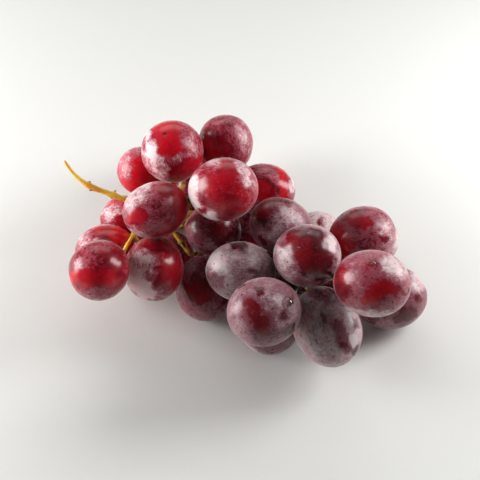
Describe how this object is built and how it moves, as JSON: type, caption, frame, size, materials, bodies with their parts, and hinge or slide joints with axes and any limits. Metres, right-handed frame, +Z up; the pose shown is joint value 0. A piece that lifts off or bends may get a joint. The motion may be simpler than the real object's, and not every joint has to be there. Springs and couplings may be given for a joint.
{
  "type": "bunch of grapes",
  "caption": "Bunch of large red table grapes lying on its side, with waxy bloom on the skins and a bare curved golden stalk.",
  "frame": {"origin": "on the table, under the middle of the bunch's bounding box", "axes": "+X from the cut stalk to the tip of the bunch, +Y to the back as the picture sees it, +Z up"},
  "size_m": [0.1412, 0.1268, 0.0697],
  "materials": {
    "skin_red": "thin translucent grape skin, bright red, half covered by a pale waxy bloom",
    "skin_wine": "thin translucent grape skin, wine red, under a heavy grey-pink waxy bloom",
    "stem": "golden yellow to olive stalk, partly dried, with brown tips"
  },
  "bodies": {
    "root": {"berry_01": "skin_red", "berry_02": "skin_red", "berry_03": "skin_red", "berry_04": "skin_red", "berry_05": "skin_red", "berry_06": "skin_red", "berry_07": "skin_red", "berry_08": "skin_red", "berry_09": "skin_red", "berry_10": "skin_red", "berry_11": "skin_wine", "berry_12": "skin_wine", "berry_13": "skin_wine", "berry_14": "skin_wine", "berry_15": "skin_wine", "berry_16": "skin_wine", "berry_17": "skin_wine", "berry_18": "skin_wine", "berry_19": "skin_wine", "berry_20": "skin_wine", "berry_21": "skin_wine", "berry_22": "skin_red", "berry_23": "skin_wine", "berry_24": "skin_red", "berry_25": "skin_red", "berry_26": "skin_red", "berry_27": "skin_wine", "berry_28": "skin_red", "berry_29": "skin_red", "berry_30": "skin_red", "berry_31": "skin_wine", "berry_32": "skin_wine", "berry_33": "skin_wine", "stem": "stem"}
  },
  "joints": []
}
